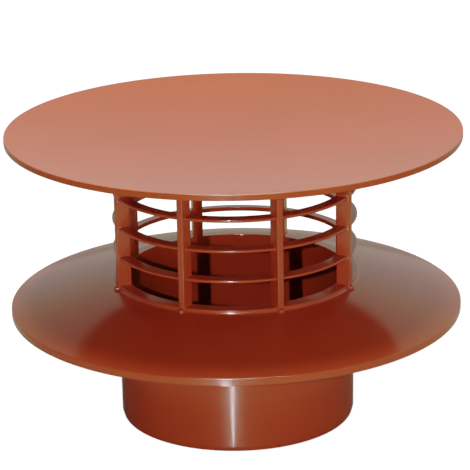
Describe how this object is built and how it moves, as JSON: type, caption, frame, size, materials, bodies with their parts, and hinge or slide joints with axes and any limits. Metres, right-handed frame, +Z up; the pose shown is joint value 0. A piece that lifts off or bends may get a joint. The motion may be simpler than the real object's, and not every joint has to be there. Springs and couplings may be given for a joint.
{
  "type": "static roof vent",
  "caption": "Round moulded roof vent: a pipe spigot with a sloping rain disc and an open cage of upright fins and level rings, under a dished cap.",
  "frame": {"origin": "centre of the spigot's lower edge, on the surface that the vent stands on", "axes": "+Z up along the vent's axis; -Y is the side that the picture is taken from, midway between two fins"},
  "size_m": [0.1914, 0.1914, 0.1252],
  "materials": {
    "base_plastic": "glossy moulded, terracotta",
    "cap_plastic": "glossy moulded, terracotta"
  },
  "bodies": {
    "root": {"base": "base_plastic", "cage": "base_plastic", "cap": "cap_plastic"}
  },
  "joints": []
}
